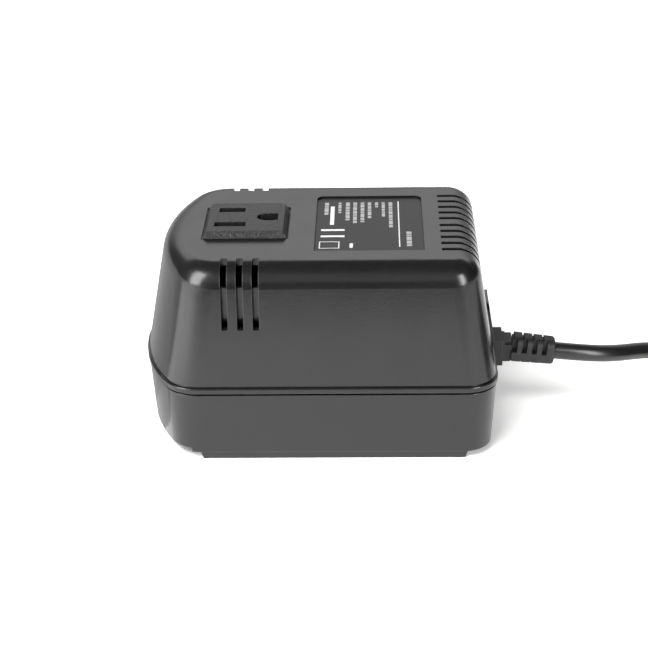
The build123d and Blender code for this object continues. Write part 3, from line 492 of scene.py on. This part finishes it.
# %% Label film
film_patch = 10.0
film_dark, film_light = (0.012, 0.012, 0.0125), (0.016, 0.016, 0.0165)
film_ripple, film_strength, film_depth = 1.5, 0.2, 0.02
label_film, label_shader = material("label_film", (0.014, 0.014, 0.0145), 0.42)
label_shader.inputs["Specular IOR Level"].default_value = 0.33
label_tone = mix_colours(label_film, noise(label_film, film_patch), film_dark, film_light)
label_film.node_tree.links.new(label_tone, label_shader.inputs["Base Color"])
bump(label_film, label_shader, noise(label_film, film_ripple), film_strength, film_depth)
paint("rating_label", label_film)
print("materials so far", len(bpy.data.materials))

# %% Printed bars
print_height = 0.02
film_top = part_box("rating_label")[1][2] / mm
# Each row of dashes: its middle along X, its low Y and high Y, and its width
fine_rows = [
    (2.7, 8.1, 19.7, 1.4),
    (7.3, 7.5, 19.7, 1.0),
    (10.05, -0.5, 19.7, 1.4),
    (12.6, 0.5, 19.7, 1.3),
    (15.15, 0.0, 19.7, 1.3),
    (17.6, 3.8, 19.7, 1.2),
    (20.05, 11.8, 19.7, 1.1),
    (22.4, 5.4, 19.7, 1.1),
    (24.9, -4.3, 19.7, 1.3),
    (30.85, -19.4, -7.0, 1.7),
]
dash_lengths = (2.6, 1.4, 3.4, 2.0, 1.2, 2.9)
dash_gap = 0.55
blocks = [
    (4.1, 5.5, -0.5, 16.1),
    (27.4, 27.8, -19.9, 20.4),
    (1.2, 9.2, -5.9, -4.4),
    (1.2, 9.2, -11.3, -9.8),
    (11.0, 12.1, -20.4, -16.7),
]
outline = (0.8, 7.6, -20.8, -15.1)
line = 0.35
blocks += [
    (outline[0], outline[1], outline[2], outline[2] + line),
    (outline[0], outline[1], outline[3] - line, outline[3]),
    (outline[0], outline[0] + line, outline[2] + line, outline[3] - line),
    (outline[1] - line, outline[1], outline[2] + line, outline[3] - line),
]


def bars_on_film(name, boxes):
    """Thin flat bars on the film, each given as low X, high X, low Y and high Y in millimetres."""
    corners, faces = [], []
    for low_x, high_x, low_y, high_y in boxes:
        first = len(corners)
        for z in (film_top, film_top + print_height):
            for x, y in ((low_x, low_y), (high_x, low_y), (high_x, high_y), (low_x, high_y)):
                corners.append((x * mm, y * mm, z * mm))
        sides = [(0, 1, 5, 4), (1, 2, 6, 5), (2, 3, 7, 6), (3, 0, 4, 7)]
        for face in [(3, 2, 1, 0), (4, 5, 6, 7)] + sides:
            faces.append([first + i for i in face])
    mesh = bpy.data.meshes.new(name)
    mesh.from_pydata(corners, [], faces)
    made = bpy.data.objects.new(name, mesh)
    bpy.context.collection.objects.link(made)
    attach(made, "root")
    return made


dashes = []
for row, (x, low_y, high_y, width) in enumerate(fine_rows):
    y = high_y
    turn = row
    while y - dash_lengths[turn % len(dash_lengths)] > low_y:
        length = dash_lengths[turn % len(dash_lengths)]
        dashes.append((x - width / 2, x + width / 2, y - length, y))
        y -= length + dash_gap
        turn += 1
fine_print = bars_on_film("label_fine_bars", dashes)
bold_print = bars_on_film("label_blocks", blocks)
ink_roughness = 0.5
ink_patch = 0.8
thin_ink = 0.85
for name, grey, printed in (("pale_ink", 0.32, fine_print), ("white_ink", 0.62, bold_print)):
    ink = (grey,) * 3
    made, shader = material(name, ink, ink_roughness)
    tone = mix_colours(made, noise(made, ink_patch), shade(ink, thin_ink), ink)
    made.node_tree.links.new(tone, shader.inputs["Base Color"])
    printed.data.materials.append(made)
print("bars on the label", len(dashes) + len(blocks))

# %% [markdown]
# ## Floor and surroundings
# A product photograph like this is lit for a white floor. The roof of the case mirrors the bright
# wall behind it, the front mirrors the floor, and the rolled edge between them mirrors the dark
# ceiling, which is what draws the dark band along it. So the surroundings are bright behind the
# case up to about 33 degrees, dark above and to the sides, and faintly lit on the camera's side.
# The floor glows too, most in a pool in front of the case to the left. A picture of a studio could
# surround the scene, but a few smooth steps are enough.

# %% Floor
half_floor = 4.0
pool_middle = (-0.28, -0.12, 0)
pool_inner, pool_outer = 0.06, 0.25
pool_glow, floor_glow = 1.8, 0.42
floor_mesh = bpy.data.meshes.new("floor")
floor_mesh.from_pydata(
    [(x * half_floor, y * half_floor, 0) for x, y in ((-1, -1), (1, -1), (1, 1), (-1, 1))],
    [],
    [(0, 1, 2, 3)],
)
floor = bpy.data.objects.new("floor", floor_mesh)
bpy.context.collection.objects.link(floor)
floor_paint, floor_shader = material("floor_paint", (0.88, 0.87, 0.86), 0.9)
floor_shader.inputs["Specular IOR Level"].default_value = 0.0
floor_shader.inputs["Emission Color"].default_value = (1, 1, 1, 1)
from_pool = add(floor_paint, "ShaderNodeVectorMath", operation="DISTANCE")
from_pool.inputs[1].default_value = pool_middle
floor_paint.node_tree.links.new(place_on_piece(floor_paint), from_pool.inputs[0])
away = from_pool.outputs["Value"]
glow = smooth_step(floor_paint, away, pool_inner, pool_outer, pool_glow, floor_glow)
floor_paint.node_tree.links.new(glow, floor_shader.inputs["Emission Strength"])
floor_mesh.materials.append(floor_paint)
print("the floor is", 2 * half_floor, "m wide")

# %% Surroundings
world = bpy.data.worlds.new("studio")
bpy.context.scene.world = world
world.use_nodes = True
sky = world.node_tree.nodes["Background"]
direction = add(world, "ShaderNodeTexCoord").outputs["Generated"]
parts = add(world, "ShaderNodeSeparateXYZ")
world.node_tree.links.new(direction, parts.inputs["Vector"])
sideways = add(world, "ShaderNodeMath", operation="ABSOLUTE")
world.node_tree.links.new(parts.outputs["X"], sideways.inputs[0])
aside, back, up = sideways.outputs["Value"], parts.outputs["Y"], parts.outputs["Z"]

# Each step: a part of the direction, its low and high value, and the brightness at each
level = smooth_step(world, up, 0.54, 0.66, 1.0, 0.02)
for step in (
    (up, 0.2, 0.54, 0.5, 2.0),
    (back, 0.2, 0.6, 0.1, 0.88),
    (aside, 0.42, 0.62, 1.0, 0.1),
):
    level = combine(world, "MULTIPLY", level, smooth_step(world, *step))
towards_camera = smooth_step(world, back, -0.35, -0.7, 0.0, 0.45)
raised = smooth_step(world, up, 0.2, 0.45, 0.0, 1.0)
room = combine(world, "MULTIPLY", towards_camera, raised)
total = combine(world, "ADD", level, room)
world.node_tree.links.new(total, sky.inputs["Strength"])
sky.inputs["Color"].default_value = (1, 1, 1, 1)
print("nodes in the surroundings", len(world.node_tree.nodes))

# %% [markdown]
# ## Lights
# A wide light, high up to the left and towards the camera, fills and draws the soft shadow at the
# right. It is hidden from reflections. Two tall soft boxes stand to the left and right of the camera
# and are seen in reflections only: they make the two soft spots on the front corners. Seen from
# behind, the roof mirrors them too and turns nearly white. Three cards lie on the floor and show in
# reflections only, each dimmer than the floor that it covers: a nearly black one in front, which
# darkens the top of the front wall, one behind to the left, and a narrow one at the nose.


# %% Soft lights
def soft_light(name, place, aim, size, power):
    """A soft light of a given width and height in metres that faces a point."""
    data = bpy.data.lights.new(name, "AREA")
    data.shape = "RECTANGLE"
    data.size, data.size_y = size
    data.energy = power
    made = bpy.data.objects.new(name, data)
    made.location = place
    made.rotation_euler = (Vector(aim) - Vector(place)).to_track_quat("-Z", "Y").to_euler()
    bpy.context.collection.objects.link(made)
    return made


crown_middle = (0, 0, 0.06)
overhead = soft_light("overhead", (-0.4, -0.5, 1.0), (0, 0, 0), (0.8, 0.8), 30.0)
overhead.visible_glossy = False
for name, place, size, power in (
    ("left_box", (-0.89, -0.58, 0.55), (0.55, 1.25), 25.0),
    ("right_box", (0.73, -0.84, 0.42), (0.36, 0.95), 15.0),
):
    box_light = soft_light(name, place, crown_middle, size, power)
    box_light.visible_diffuse = False
print("lights", len(bpy.data.lights))

# %% Cards for reflections
card_height = 1 * mm
cards = (
    ("front_card", (-0.6, -4.0), (0.6, -0.23), 0.02),
    ("back_card", (-0.6, 0.0), (-0.02, 0.8), 0.75),
    ("nose_card", (-0.1, -0.022), (-0.04, 0.0), 1.0),
)


def card(name, low, high, glow):
    """A flat card on the floor that only reflections show, from one corner to the other in metres."""
    mesh = bpy.data.meshes.new(name)
    corners = [(low[0], low[1]), (high[0], low[1]), (high[0], high[1]), (low[0], high[1])]
    mesh.from_pydata([(x, y, card_height) for x, y in corners], [], [(0, 1, 2, 3)])
    made = bpy.data.objects.new(name, mesh)
    bpy.context.collection.objects.link(made)
    paper, shader = material(name, (0, 0, 0), 1.0)
    shader.inputs["Specular IOR Level"].default_value = 0.0
    shader.inputs["Emission Color"].default_value = (1, 1, 1, 1)
    shader.inputs["Emission Strength"].default_value = glow
    mesh.materials.append(paper)
    made.visible_camera = False
    made.visible_diffuse = False
    made.visible_shadow = False


for name, low, high, glow in cards:
    card(name, low, high, glow)
bpy.context.scene.view_settings.view_transform = "Standard"
print("cards", len(cards))
